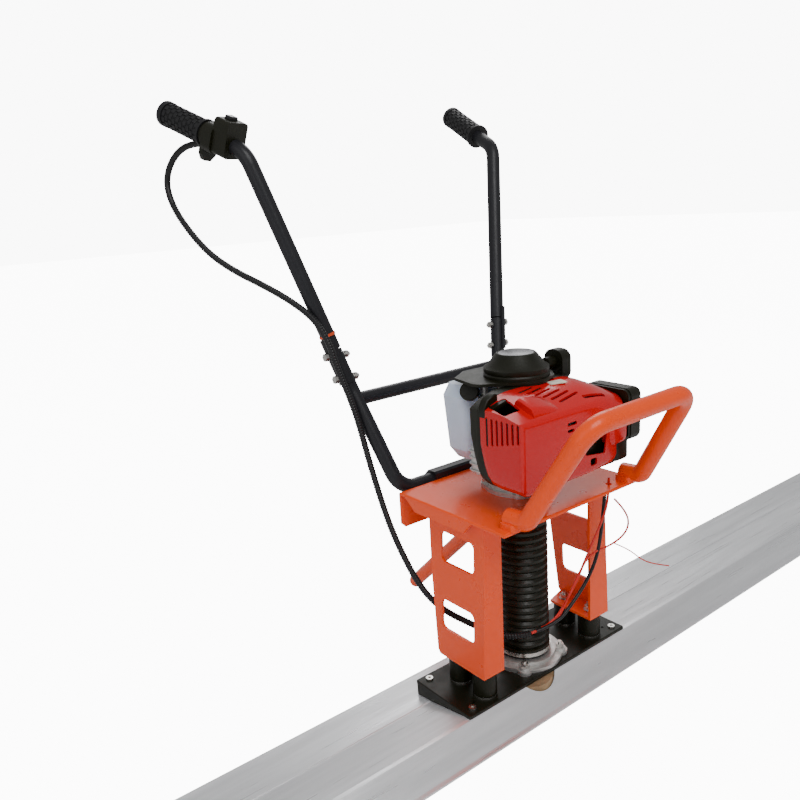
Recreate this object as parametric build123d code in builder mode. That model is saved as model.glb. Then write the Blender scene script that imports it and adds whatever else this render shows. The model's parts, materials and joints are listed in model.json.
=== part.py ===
"""Power screed: a vibrating aluminium blade driven by a small petrol engine, with a steel handle frame.

Millimetres. The origin lies on the blade's sole, under the vertical axis of the exciter.
+X runs along the blade, -Y is the front (carry handle) side, +Y the operator's side, +Z is up.
"""

from build123d import *
import math
import os

os.makedirs("parts", exist_ok=True)

# ---------------------------------------------------------------- driving dimensions
BLADE_LENGTH = 2500
BLADE_WALL = 2.5
RIDGE_Y = -60
RIDGE_Z = 36
CREASE_Y, CREASE_Z = 26, 20
BACK_Y, BACK_Z = 98, 15
TOE_Y = -96

PLATE_T = 4  # every folded steel plate
BASE_HALF = 165
BASE_FRONT, BASE_BACK = -59, 56
BASE_TOP = RIDGE_Z + PLATE_T

MOUNT_R = 17
MOUNT_X = 112
MOUNT_YS = (-33, 16)
BRACKET_BOTTOM = 76
BRACKET_HALF = 130
BRACKET_LEAN = 10
BRACKET_FRONT, BRACKET_BACK = -52, 60
FLANGE_WIDTH = 38

DECK_TOP = 308
DECK_UNDER = DECK_TOP - PLATE_T
DECK_HALF = 136
DECK_FRONT, DECK_BACK = -105, 106
DECK_BORE_R = 36

BOOT_R = 39
BOOT_BOTTOM, BOOT_TOP = 52, 302
RIB_PITCH = 11
VALLEY_R = 35.6
NECK_R = 33.5

TUBE_R = 11.1
TUBE_WALL = 2
BAR_R = 10
JOINT_POINT = (-162, 200, 501)
ELBOW_POINT = (-236, 272, 789)
GRIP_END = (-277, 417, 854)
KNEE_DROP = 54.6  # from the joint down the straight of the lower tube
U_BAR_Y, U_BAR_Z, U_BAR_X = 117.5, 305, 124
CROSSBAR_Y, CROSSBAR_Z = 183, 435

ENGINE_BOTTOM = 342
CRANK_R = 8
FLYWHEEL_R = 38.5
CASE_BOTTOM, CASE_TOP = 374, 440
BORE_Y_AXIS_Z = 407
STARTER_RIM_Z = 466
REEL_R = 38
STARTER_TOP = 502

SHROUD_LEFT, SHROUD_RIGHT = -105, 100
SHROUD_FRONT, SHROUD_BACK = -110, -34
SHROUD_BOTTOM = 346.5
SHELL = 3

LEG_PIVOT = (0, 64, 246)
LEG_END = (0, 263, 57)
LEG_R = 11

CONDUIT_R = 5
BOLT_R = 3
RUNNING = 0.05


def finish(piece, name):
    """Label a finished piece and write its STEP file."""
    piece.part.label = name
    export_step(piece.part, f"parts/{name}.step")


def unit(a, b):
    """Unit vector from point a to point b."""
    return (Vector(*b) - Vector(*a)).normalized()


def mirrored(point):
    return (-point[0], point[1], point[2])


# ---------------------------------------------------------------- blade
BLADE_OUTLINE = [
    (TOE_Y, 0),
    (TOE_Y, 3),
    (TOE_Y + 5, 4.5),
    (RIDGE_Y, RIDGE_Z),
    (RIDGE_Y + 6, RIDGE_Z),
    (CREASE_Y, CREASE_Z),
    (BACK_Y, BACK_Z),
    (BACK_Y, 0),
]
BAY_CENTRE = (-28, -28)  # the lobe of the exciter's lower cap sits in a bay cut in the ridge
BAY_R = 43.5
BARREL_CUT_R = 57
CORNER_BOLTS = [(x, y) for x in (-149, 149) for y in (-47, 44)]

with BuildPart() as blade_profile:
    with BuildSketch(Plane.YZ):
        with BuildLine():
            Polyline(*BLADE_OUTLINE, close=True)
        make_face()
        offset(amount=-BLADE_WALL, kind=Kind.INTERSECTION, mode=Mode.SUBTRACT)
        with Locations((CREASE_Y, CREASE_Z - 0.2)):
            Circle(1.4)
        with Locations((RIDGE_Y + 3, RIDGE_Z / 2), (CREASE_Y, CREASE_Z / 2)):
            Rectangle(BLADE_WALL, RIDGE_Z)
        with BuildLine():
            Polyline(*BLADE_OUTLINE, close=True)
        make_face(mode=Mode.PRIVATE)
    extrude(amount=BLADE_LENGTH / 2, both=True)
    # trims what the webs stand above the skins, away from the crease bead
    with BuildSketch(Plane.YZ):
        with BuildLine():
            Polyline(
                (TOE_Y - 5, 0), (TOE_Y - 5, 60), (BACK_Y + 5, 60), (BACK_Y + 5, BACK_Z),
                (BACK_Y, BACK_Z), (CREASE_Y + 1.5, CREASE_Z), (CREASE_Y, CREASE_Z + 1.2),
                (CREASE_Y - 1.5, CREASE_Z + 0.3), (RIDGE_Y + 6, RIDGE_Z), (RIDGE_Y, RIDGE_Z),
                (TOE_Y + 5, 4.5), (TOE_Y, 3), (TOE_Y, 0), close=True,
            )
        make_face()
    extrude(amount=BLADE_LENGTH / 2 + 1, both=True, mode=Mode.SUBTRACT)
    with BuildSketch(Plane.YZ):
        with Locations((0, -10)):
            Rectangle(300, 20)
    extrude(amount=BLADE_LENGTH / 2 + 1, both=True, mode=Mode.SUBTRACT)
    with BuildSketch(Plane.XY.offset(BLADE_WALL + 0.5)):
        Circle(BARREL_CUT_R)
        with Locations(BAY_CENTRE):
            Circle(BAY_R)
    extrude(amount=40, mode=Mode.SUBTRACT)
    with BuildSketch(Plane.XY.offset(BLADE_WALL + 3)):
        with Locations(*CORNER_BOLTS):
            Circle(BOLT_R + 0.3)
    extrude(amount=40, mode=Mode.SUBTRACT)
finish(blade_profile, "blade_profile")

# ---------------------------------------------------------------- base plate and its fasteners
with BuildPart() as base_plate:
    with BuildSketch(Plane.XY.offset(RIDGE_Z)):
        with Locations((0, (BASE_FRONT + BASE_BACK) / 2)):
            Rectangle(2 * BASE_HALF, BASE_BACK - BASE_FRONT)
        fillet([v for v in vertices()], 3)
        Circle(56.5, mode=Mode.SUBTRACT)
        with Locations(*[(sx * MOUNT_X, y) for sx in (-1, 1) for y in MOUNT_YS]):
            Circle(4.2, mode=Mode.SUBTRACT)
        with Locations(*CORNER_BOLTS):
            Circle(BOLT_R + 0.3, mode=Mode.SUBTRACT)
        with Locations((-138, -38), (138, -38)):
            Circle(2.2, mode=Mode.SUBTRACT)
    extrude(amount=PLATE_T)
    for side in (-1, 1):
        with BuildSketch(Plane.YZ.offset(side * BASE_HALF)):
            with BuildLine():
                Polyline(
                    (-48, RIDGE_Z), (BASE_BACK - 3, RIDGE_Z), (BASE_BACK - 3, CREASE_Z - 1.5),
                    (CREASE_Y + 3, CREASE_Z + 2), (CREASE_Y - 3, CREASE_Z + 2.5), close=True,
                )
            make_face()
        extrude(amount=-side * PLATE_T)
    # welded bushes carry the plate's back corners on the blade's lower skin line
    with BuildSketch(Plane.XY.offset(CREASE_Z - 0.6)):
        with Locations((-149, 44), (149, 44)):
            Circle(7)
            Circle(BOLT_R + 0.3, mode=Mode.SUBTRACT)
    extrude(amount=RIDGE_Z - CREASE_Z + 0.6)
    fillet(base_plate.edges().filter_by(Axis.Y).group_by(Axis.Z)[-1], 1.5)
finish(base_plate, "base_plate")

# ---------------------------------------------------------------- vibration mounts
MOUNT_POINTS = [(sx * MOUNT_X, y) for sx in (-1, 1) for y in MOUNT_YS]

with BuildPart() as vibration_mounts:
    with BuildSketch(Plane.XY.offset(BASE_TOP + 2)):
        with Locations(*MOUNT_POINTS):
            Circle(MOUNT_R)
    extrude(amount=BRACKET_BOTTOM - BASE_TOP - 4)
    fillet(vibration_mounts.edges(), 1.2)
finish(vibration_mounts, "vibration_mounts")

with BuildPart() as mount_studs:
    for z in (BASE_TOP, BRACKET_BOTTOM - 2):
        with BuildSketch(Plane.XY.offset(z)):
            with Locations(*MOUNT_POINTS):
                Circle(MOUNT_R - 0.5)
        extrude(amount=2)
    with BuildSketch(Plane.XY.offset(RIDGE_Z + 0.3)):
        with Locations(*MOUNT_POINTS):
            Circle(4)
    extrude(amount=PLATE_T)
    with BuildSketch(Plane.XY.offset(BRACKET_BOTTOM - 1)):
        with Locations(*MOUNT_POINTS):
            Circle(4)
    extrude(amount=17)
    with BuildSketch(Plane.XY.offset(BRACKET_BOTTOM + PLATE_T)):
        with Locations(*MOUNT_POINTS):
            Circle(8.5)
            Circle(4.02, mode=Mode.SUBTRACT)
    extrude(amount=1.5)
    with BuildSketch(Plane.XY.offset(BRACKET_BOTTOM + PLATE_T + 1.5)):
        with Locations(*MOUNT_POINTS):
            RegularPolygon(7.4, 6)
            Circle(4.02, mode=Mode.SUBTRACT)
    extrude(amount=6.5)
finish(mount_studs, "mount_studs")


# ---------------------------------------------------------------- side panels
def side_panel(side):
    """One leaning cheek of the bracket: web, front flange and bottom flange. side is -1 (left) or +1."""
    height = DECK_UNDER - BRACKET_BOTTOM
    lean = Vector(-side * BRACKET_LEAN, 0, height).normalized()
    web_plane = Plane(
        origin=(side * BRACKET_HALF, 0, BRACKET_BOTTOM),
        x_dir=(0, 1, 0),
        z_dir=Vector(0, 1, 0).cross(lean),
    )
    inward = PLATE_T if side < 0 else -PLATE_T
    with BuildPart() as panel:
        with BuildSketch(web_plane):
            with BuildLine():
                Polyline(
                    (BRACKET_FRONT, -2), (38, -2), (44, 6), (BRACKET_BACK - 5, 120),
                    (BRACKET_BACK, height + 2), (BRACKET_FRONT, height + 2), close=True,
                )
            make_face()
            with Locations((1, 67), (1, 169)):
                RectangleRounded(66, 45, 9, mode=Mode.SUBTRACT)
        extrude(amount=-inward if web_plane.z_dir.X * side > 0 else abs(inward))
        with BuildSketch(Plane.XZ.offset(-BRACKET_FRONT)):
            with BuildLine():
                Polyline(
                    (side * BRACKET_HALF, BRACKET_BOTTOM),
                    (side * (BRACKET_HALF - FLANGE_WIDTH), BRACKET_BOTTOM),
                    (side * (BRACKET_HALF - BRACKET_LEAN - 30), DECK_UNDER),
                    (side * (BRACKET_HALF - BRACKET_LEAN), DECK_UNDER),
                    close=True,
                )
            make_face()
        extrude(amount=-PLATE_T)
        with BuildSketch(Plane.XY.offset(BRACKET_BOTTOM)):
            with BuildLine():
                Polyline(
                    (side * (BRACKET_HALF - 1), BRACKET_FRONT), (side * (BRACKET_HALF - 1), 38),
                    (side * (BRACKET_HALF - FLANGE_WIDTH), 28),
                    (side * (BRACKET_HALF - FLANGE_WIDTH), BRACKET_FRONT), close=True,
                )
            make_face()
            with Locations(*[(side * MOUNT_X, y) for y in MOUNT_YS]):
                Circle(4.3, mode=Mode.SUBTRACT)
        extrude(amount=PLATE_T)
        split(bisect_by=Plane.XY.offset(DECK_UNDER), keep=Keep.BOTTOM)
        split(bisect_by=Plane.XY.offset(BRACKET_BOTTOM), keep=Keep.TOP)
    return panel


left_side_panel = side_panel(-1)
finish(left_side_panel, "left_side_panel")
right_side_panel = side_panel(1)
finish(right_side_panel, "right_side_panel")

# ---------------------------------------------------------------- engine deck
HOUSING_BOLTS_R = 47
CLAMP_BOLTS = [(-50, 288), (50, 288)]  # x and z on the deck's back lip
LIP_OUTLINE = [(97, DECK_TOP - 1), (71, 287), (-29, 287), (-47, DECK_TOP - 1)]
BACK_LIP_Z = 254
CLAMP_BACK = 130

with BuildPart() as engine_deck:
    with BuildSketch(Plane.XY.offset(DECK_UNDER)):
        with Locations((0, (DECK_FRONT + DECK_BACK) / 2)):
            Rectangle(2 * DECK_HALF, DECK_BACK - DECK_FRONT)
        Circle(DECK_BORE_R, mode=Mode.SUBTRACT)
        with PolarLocations(HOUSING_BOLTS_R, 4, start_angle=45):
            Circle(BOLT_R + 0.3, mode=Mode.SUBTRACT)
        with Locations((88, -88)):
            Circle(5, mode=Mode.SUBTRACT)
    extrude(amount=PLATE_T)
    for side in (-1, 1):
        with BuildSketch(Plane.YZ.offset(side * DECK_HALF)):
            with BuildLine():
                Polyline(*LIP_OUTLINE, close=True)
            make_face()
        extrude(amount=-side * PLATE_T)
    with BuildSketch(Plane.XZ.offset(-DECK_BACK)):
        with BuildLine():
            Polyline(
                (-DECK_HALF, DECK_TOP - 1), (-DECK_HALF, BACK_LIP_Z + 6), (-DECK_HALF + 6, BACK_LIP_Z),
                (DECK_HALF - 6, BACK_LIP_Z), (DECK_HALF, BACK_LIP_Z + 6), (DECK_HALF, DECK_TOP - 1),
                close=True,
            )
        make_face()
        with Locations(*CLAMP_BOLTS):
            Circle(BOLT_R + 0.3, mode=Mode.SUBTRACT)
    extrude(amount=PLATE_T)
    fillet(
        engine_deck.edges().group_by(Axis.Z)[-1].filter_by(GeomType.LINE).filter_by(
            lambda e: e.length > 200
        ),
        2.5,
    )
    # two welded ears carry the parking leg's pin
    for x in (-19, 15):
        with BuildSketch(Plane.YZ.offset(x)):
            with BuildLine():
                Polyline((46, DECK_UNDER), (84, DECK_UNDER), (76, 236), (52, 236), close=True)
            make_face()
            with Locations((LEG_PIVOT[1], LEG_PIVOT[2])):
                Circle(5, mode=Mode.SUBTRACT)
        extrude(amount=4)
finish(engine_deck, "engine_deck")

# ---------------------------------------------------------------- carry handle, welded on the deck's front edge
LEFT_FOOT_X, RIGHT_FOOT_X = -110, 120
HANDLE_R = 12.5
HANDLE_TOP_LEFT = (-92, -200, 455)
HANDLE_TOP_RIGHT = (102, -200, 457)

with BuildPart() as carry_handle:
    with BuildLine() as handle_path:
        FilletPolyline(
            (LEFT_FOOT_X, -88, DECK_TOP + 11), (LEFT_FOOT_X, -118, DECK_TOP + 13), HANDLE_TOP_LEFT,
            HANDLE_TOP_RIGHT, (RIGHT_FOOT_X, -118, DECK_TOP + 13), (RIGHT_FOOT_X, -88, DECK_TOP + 11),
            radius=[14, 32, 32, 14],
        )
    with BuildSketch(Plane(origin=handle_path.line @ 0, z_dir=handle_path.line % 0)):
        Circle(HANDLE_R)
    sweep()
    with BuildSketch(Plane.XY.offset(DECK_TOP)):
        with Locations((LEFT_FOOT_X, -96), (RIGHT_FOOT_X, -96)):
            RectangleRounded(29, 26, 6)
    extrude(amount=9)
    with BuildSketch(Plane.XY.offset(DECK_TOP)):
        with Locations((0, -100)):
            Rectangle(400, 120)
    extrude(amount=-30, mode=Mode.SUBTRACT)
finish(carry_handle, "carry_handle")

# ---------------------------------------------------------------- exciter
FLANGE_BOLTS = [(x, y) for x in (-38, 38) for y in (-38, 38)]
SHAFT_R = 10
BEARING_R = 23.5

with BuildPart() as exciter_housing:
    with BuildSketch(Plane.XY.offset(14)):
        Circle(48)
    extrude(amount=BASE_TOP - 14)
    with BuildSketch(Plane.XY.offset(BASE_TOP)):
        RectangleRounded(88, 88, 20)
        with Locations(*FLANGE_BOLTS):
            Circle(11)
        Circle(57)
    extrude(amount=6)
    with BuildSketch(Plane.XY.offset(BASE_TOP + 6)):
        Circle(47)
        with Locations(*FLANGE_BOLTS):
            Circle(8)
    extrude(amount=4)
    with BuildSketch(Plane.XY.offset(BASE_TOP + 10)):
        Circle(NECK_R)
    extrude(amount=24)
    with BuildSketch(Plane.XY.offset(14)):
        Circle(31)
    extrude(amount=42, mode=Mode.SUBTRACT)
    with BuildSketch(Plane.XY.offset(50)):
        Circle(BEARING_R)
    extrude(amount=30, mode=Mode.SUBTRACT)
    with BuildSketch(Plane.XY.offset(BASE_TOP - 1)):
        with Locations(*FLANGE_BOLTS):
            Circle(BOLT_R + 0.2)
    extrude(amount=20, mode=Mode.SUBTRACT)
finish(exciter_housing, "exciter_housing")

with BuildPart() as base_plate_bolts:
    with BuildSketch(Plane.XY.offset(BASE_TOP)):
        with Locations(*CORNER_BOLTS):
            Circle(5.2)
            RegularPolygon(2.6, 6, mode=Mode.SUBTRACT)
    extrude(amount=2.8)
    with BuildSketch(Plane.XY.offset(7)):
        with Locations(*CORNER_BOLTS):
            Circle(BOLT_R)
    extrude(amount=BASE_TOP - 7)
    with BuildSketch(Plane.XY.offset(9)):
        with Locations(*CORNER_BOLTS):
            RegularPolygon(5, 6)
    extrude(amount=3)
    with BuildSketch(Plane.XY.offset(BASE_TOP)):
        with Locations(*FLANGE_BOLTS):
            Circle(BOLT_R)
    extrude(amount=19)
    with BuildSketch(Plane.XY.offset(BASE_TOP + 10)):
        with Locations(*FLANGE_BOLTS):
            RegularPolygon(5.8, 6)
    extrude(amount=5.5)
finish(base_plate_bolts, "base_plate_bolts")

with BuildPart() as exciter_lower_cap:
    with BuildSketch(Plane.XY.offset(BLADE_WALL + 1.5)):
        Circle(48)
        with Locations(BAY_CENTRE):
            Circle(BAY_R - 1.5)
    extrude(amount=9.5)
    with BuildSketch(Plane.XY.offset(13)):
        with Locations(BAY_CENTRE):
            Circle(BAY_R - 1.5)
        Circle(48.2, mode=Mode.SUBTRACT)
    extrude(amount=21)
    with BuildSketch(Plane.XY.offset(13)):
        Circle(30.5)
    extrude(amount=13)
    with BuildSketch(Plane.XY.offset(12)):
        Circle(BEARING_R)
    extrude(amount=20, mode=Mode.SUBTRACT)
finish(exciter_lower_cap, "exciter_lower_cap")

with BuildPart() as eccentric_shaft:
    with BuildSketch(Plane.XY.offset(13)):
        Circle(SHAFT_R)
    extrude(amount=83)
    with BuildSketch(Plane.XY.offset(30)):
        Circle(28)
        with Locations((0, -20)):
            Rectangle(60, 28, mode=Mode.SUBTRACT)
        Circle(15)
    extrude(amount=22)
finish(eccentric_shaft, "eccentric_shaft")

with BuildPart() as drive_shaft:
    with BuildSketch(Plane.XY.offset(96)):
        Circle(SHAFT_R)
    extrude(amount=224)
    with BuildSketch(Plane.XY.offset(80)):
        Circle(17)
    extrude(amount=34)
    with BuildSketch(Plane.XY.offset(79)):
        Circle(SHAFT_R)
    extrude(amount=17, mode=Mode.SUBTRACT)
finish(drive_shaft, "drive_shaft")

# ---------------------------------------------------------------- rubber boot
with BuildPart() as rubber_boot:
    with BuildSketch(Plane.XZ):
        with BuildLine():
            first_rib = BOOT_BOTTOM + 14
            ribs = int((BOOT_TOP - 12 - first_rib) // RIB_PITCH)
            points = [(NECK_R, BOOT_BOTTOM), (BOOT_R, BOOT_BOTTOM), (BOOT_R, first_rib - 2)]
            for i in range(ribs):
                z = first_rib + i * RIB_PITCH
                points += [(VALLEY_R, z), (BOOT_R - 0.5, z + 3.5), (BOOT_R - 0.5, z + RIB_PITCH - 3.5)]
            top_cuff = first_rib + ribs * RIB_PITCH
            points += [(VALLEY_R, top_cuff), (BOOT_R, top_cuff + 3), (BOOT_R, BOOT_TOP), (31, BOOT_TOP)]
            points += [(31, BOOT_BOTTOM + 24), (NECK_R, BOOT_BOTTOM + 24)]
            Polyline(*points, close=True)
        make_face()
    revolve(axis=Axis.Z)
finish(rubber_boot, "rubber_boot")

with BuildPart() as boot_clamps:
    for z in (BOOT_BOTTOM + 3, BOOT_TOP - 9):
        with BuildSketch(Plane.XY.offset(z)):
            Circle(BOOT_R + 1.2)
            Circle(BOOT_R, mode=Mode.SUBTRACT)
        extrude(amount=6)
        with BuildSketch(Plane.XY.offset(z)):
            with Locations((0, BOOT_R + 5)):
                Rectangle(12, 8)
        extrude(amount=6)
finish(boot_clamps, "boot_clamps")

# ---------------------------------------------------------------- clutch
DRUM_R = 34

with BuildPart() as clutch_housing:
    with BuildSketch(Plane.XY.offset(DECK_TOP)):
        RectangleRounded(84, 84, 12)
        Circle(50)
    extrude(amount=6)
    with BuildSketch(Plane.XY.offset(DECK_TOP + 6)):
        Circle(44)
    extrude(amount=ENGINE_BOTTOM - DECK_TOP - 6)
    with BuildSketch(Plane.XY.offset(DECK_TOP + 8)):
        Circle(40)
    extrude(amount=40, mode=Mode.SUBTRACT)
    # the collar under the deck carries the boot's top cuff
    with BuildSketch(Plane.XY.offset(BOOT_TOP - 14)):
        Circle(31)
    extrude(amount=DECK_TOP + 1 - BOOT_TOP + 14)
    with BuildSketch(Plane.XY.offset(BOOT_TOP - 15)):
        Circle(26)
    extrude(amount=DECK_UNDER + 1 - BOOT_TOP + 15, mode=Mode.SUBTRACT)
    with BuildSketch(Plane.XY.offset(DECK_UNDER)):
        Circle(21)
    extrude(amount=13, mode=Mode.SUBTRACT)
    with BuildSketch(Plane.XY.offset(DECK_TOP - 1)):
        with PolarLocations(HOUSING_BOLTS_R, 4, start_angle=45):
            Circle(BOLT_R + 0.2)
    extrude(amount=60, mode=Mode.SUBTRACT)
finish(clutch_housing, "clutch_housing")

with BuildPart() as shaft_bearings:
    for z in (12, 56):
        with BuildSketch(Plane.XY.offset(z)):
            Circle(BEARING_R)
            Circle(SHAFT_R + RUNNING, mode=Mode.SUBTRACT)
        extrude(amount=14)
    with BuildSketch(Plane.XY.offset(DECK_UNDER + 1)):
        Circle(21)
        Circle(SHAFT_R + RUNNING, mode=Mode.SUBTRACT)
    extrude(amount=10)
finish(shaft_bearings, "shaft_bearings")

with BuildPart() as clutch_drum:
    with BuildSketch(Plane.XY.offset(320)):
        Circle(DRUM_R + 3)
    extrude(amount=18)
    with BuildSketch(Plane.XY.offset(323)):
        Circle(DRUM_R)
    extrude(amount=20, mode=Mode.SUBTRACT)
finish(clutch_drum, "clutch_drum")

with BuildPart() as clutch_shoes:
    with BuildSketch(Plane.XY.offset(325)):
        Circle(DRUM_R - 1)
        Circle(19, mode=Mode.SUBTRACT)
        Rectangle(100, 8, mode=Mode.SUBTRACT)
    extrude(amount=12)
    with BuildSketch(Plane.XY.offset(325)):
        Circle(19)
    extrude(amount=12)
    with BuildSketch(Plane.XY.offset(325)):
        Rectangle(44, 7)
        Circle(CRANK_R, mode=Mode.SUBTRACT)
    extrude(amount=12)
    with BuildSketch(Plane.XY.offset(324)):
        Circle(CRANK_R)
    extrude(amount=14, mode=Mode.SUBTRACT)
finish(clutch_shoes, "clutch_shoes")

with BuildPart() as deck_bolts:
    with BuildSketch(Plane.XY.offset(DECK_TOP + 6)):
        with PolarLocations(HOUSING_BOLTS_R, 4, start_angle=45):
            RegularPolygon(5.4, 6)
        Circle(44.1, mode=Mode.SUBTRACT)
    extrude(amount=5)
    with BuildSketch(Plane.XY.offset(DECK_UNDER - 6)):
        with PolarLocations(HOUSING_BOLTS_R, 4, start_angle=45):
            Circle(BOLT_R)
    extrude(amount=16)
    with BuildSketch(Plane.XY.offset(DECK_UNDER - 5)):
        with PolarLocations(HOUSING_BOLTS_R, 4, start_angle=45):
            RegularPolygon(5.4, 6)
    extrude(amount=5)
    # the frame clamp's bolts run through the deck's back lip
    with BuildSketch(Plane.XZ.offset(-CLAMP_BACK)):
        with Locations(*CLAMP_BOLTS):
            RegularPolygon(5.4, 6)
    extrude(amount=-4)
    with BuildSketch(Plane.XZ.offset(-(DECK_BACK - PLATE_T) + 5)):
        with Locations(*CLAMP_BOLTS):
            RegularPolygon(5.4, 6)
    extrude(amount=-5)
    with BuildSketch(Plane.XZ.offset(-(DECK_BACK - PLATE_T) + 6)):
        with Locations(*CLAMP_BOLTS):
            Circle(BOLT_R)
    extrude(amount=-(CLAMP_BACK - DECK_BACK + PLATE_T + 7))
finish(deck_bolts, "deck_bolts")

# ---------------------------------------------------------------- crankcase, crankshaft, flywheel
with BuildPart() as crankcase:
    with BuildSketch(Plane.XY.offset(CASE_BOTTOM)):
        RectangleRounded(84, 82, 12)
    extrude(amount=CASE_TOP - CASE_BOTTOM)
    with BuildSketch(Plane.XY.offset(CASE_BOTTOM + 6)):
        Circle(32)
    extrude(amount=CASE_TOP - CASE_BOTTOM - 12, mode=Mode.SUBTRACT)
    with BuildSketch(Plane.XY.offset(CASE_BOTTOM - 1)):
        Circle(CRANK_R + RUNNING)
    extrude(amount=80, mode=Mode.SUBTRACT)
    with BuildSketch(Plane.XZ.offset(30)):
        with Locations((0, BORE_Y_AXIS_Z)):
            Circle(19.5)
    extrude(amount=20, mode=Mode.SUBTRACT)
    with BuildSketch(Plane.XY.offset(CASE_TOP)):
        with Locations((-36, -6), (36, -6), (-29, 34), (36, 35)):
            Circle(4.5)
    extrude(amount=STARTER_RIM_Z - CASE_TOP)
finish(crankcase, "crankcase")

with BuildPart() as crankshaft:
    with BuildSketch(Plane.XY.offset(324)):
        Circle(CRANK_R)
    extrude(amount=148)
    for z in (388, 412):
        with BuildSketch(Plane.XY.offset(z)):
            Circle(28)
        extrude(amount=10)
    with BuildSketch(Plane.XY.offset(396)):
        with Locations((0, 15)):
            Circle(6)
    extrude(amount=18)
finish(crankshaft, "crankshaft")

with BuildPart() as flywheel:
    with BuildSketch(Plane.XY.offset(350)):
        Circle(FLYWHEEL_R)
    extrude(amount=8)
    with BuildSketch(Plane.XY.offset(358)):
        with PolarLocations(FLYWHEEL_R - 11, 14):
            Rectangle(20, 2.4)
    extrude(amount=9)
    with BuildSketch(Plane.XY.offset(349)):
        Circle(CRANK_R)
    extrude(amount=20, mode=Mode.SUBTRACT)
finish(flywheel, "flywheel_fan")

with BuildPart() as fan_housing:
    with BuildSketch(Plane.XY.offset(ENGINE_BOTTOM)):
        with BuildLine():
            Polyline(
                (-102, -96), (-92, -106), (84, -106), (97, -92), (97, -16), (60, 52), (-62, 52),
                (-102, -12), close=True,
            )
        make_face()
    extrude(amount=4)
    with BuildSketch(Plane.XY.offset(ENGINE_BOTTOM + 4)):
        Circle(FLYWHEEL_R + 4.5)
        Circle(FLYWHEEL_R + 2, mode=Mode.SUBTRACT)
        with Locations((0, -60)):
            Rectangle(100, 60, mode=Mode.SUBTRACT)
    extrude(amount=24)
    for x_inner, x_outer in ((-84, SHROUD_LEFT), (80, SHROUD_RIGHT)):
        with BuildSketch(Plane.XY.offset(ENGINE_BOTTOM + 4)):
            with BuildLine():
                Polyline(
                    (x_inner, SHROUD_BACK + 0.5), (x_outer, SHROUD_BACK + 0.5),
                    (x_outer * 0.97, SHROUD_BACK + 20), (x_inner, SHROUD_BACK + 20), close=True,
                )
            make_face()
        extrude(amount=98)
    with BuildSketch(Plane.XY.offset(ENGINE_BOTTOM - 1)):
        Circle(40)
    extrude(amount=8, mode=Mode.SUBTRACT)
finish(fan_housing, "fan_housing")

# ---------------------------------------------------------------- cylinder side
with BuildPart() as cylinder:
    with BuildSketch(Plane.XZ.offset(41)):
        with Locations((0, BORE_Y_AXIS_Z)):
            Circle(25)
    extrude(amount=48)
    for i in range(7):
        with BuildSketch(Plane.XZ.offset(45 + 6 * i)):
            with Locations((0, BORE_Y_AXIS_Z)):
                RectangleRounded(68, 66, 8)
        extrude(amount=2.4)
    with BuildSketch(Plane.XZ.offset(41)):
        with Locations((0, BORE_Y_AXIS_Z)):
            Circle(19.5)
    extrude(amount=42, mode=Mode.SUBTRACT)
finish(cylinder, "cylinder")

with BuildPart() as piston:
    with BuildSketch(Plane.XZ.offset(52)):
        with Locations((0, BORE_Y_AXIS_Z)):
            Circle(19.4)
    extrude(amount=24)
    with BuildSketch(Plane.XZ.offset(51)):
        with Locations((0, BORE_Y_AXIS_Z)):
            Circle(16)
    extrude(amount=20, mode=Mode.SUBTRACT)
finish(piston, "piston")

with BuildPart() as spark_plug:
    with BuildSketch(Plane.XZ.offset(89)):
        with Locations((24, 396)):
            Circle(6)
    extrude(amount=4)
    with BuildSketch(Plane.XZ.offset(93)):
        with Locations((24, 396)):
            Circle(4)
    extrude(amount=4.5)
finish(spark_plug, "spark_plug")

with BuildPart() as spark_plug_cap:
    with BuildSketch(Plane.XZ.offset(93.2)):
        with Locations((24, 396)):
            RectangleRounded(26, 22, 6)
    extrude(amount=11)
    with BuildSketch(Plane.XZ.offset(92)):
        with Locations((24, 396)):
            Circle(4)
    extrude(amount=5.5, mode=Mode.SUBTRACT)
finish(spark_plug_cap, "spark_plug_cap")

with BuildPart() as muffler:
    with BuildSketch(Plane.XY.offset(368)):
        with Locations((-67, -68)):
            RectangleRounded(58, 56, 10)
    extrude(amount=64)
    fillet(muffler.edges().group_by(Axis.Z)[-1], 6)
finish(muffler, "muffler")

with BuildPart() as carburettor:
    with BuildSketch(Plane.XY.offset(388)):
        with Locations((60, -72)):
            RectangleRounded(38, 30, 5)
    extrude(amount=36)
    with BuildSketch(Plane.YZ.offset(35)):
        with Locations((-72, BORE_Y_AXIS_Z)):
            Circle(12)
    extrude(amount=10)
    with BuildSketch(Plane.XY.offset(388)):
        with Locations((60, -72)):
            Circle(9.4)
    extrude(amount=4, mode=Mode.SUBTRACT)
finish(carburettor, "carburettor")

with BuildPart() as air_filter_base:
    with BuildSketch(Plane.YZ.offset(80)):
        with Locations((-76, 404)):
            RectangleRounded(30, 30, 5)
    extrude(amount=22)
    with BuildSketch(Plane.YZ.offset(101)):
        with Locations((-72, 408)):
            RectangleRounded(76, 72, 10)
    extrude(amount=5)
    with BuildSketch(Plane.YZ.offset(79)):
        with Locations((-72, BORE_Y_AXIS_Z)):
            Circle(9)
    extrude(amount=40, mode=Mode.SUBTRACT)
finish(air_filter_base, "air_filter_base")

with BuildPart() as air_filter_element:
    with BuildSketch(Plane.YZ.offset(106.3)):
        with Locations((-72, 408)):
            RectangleRounded(58, 54, 6)
    extrude(amount=18)
finish(air_filter_element, "air_filter_element")

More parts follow.
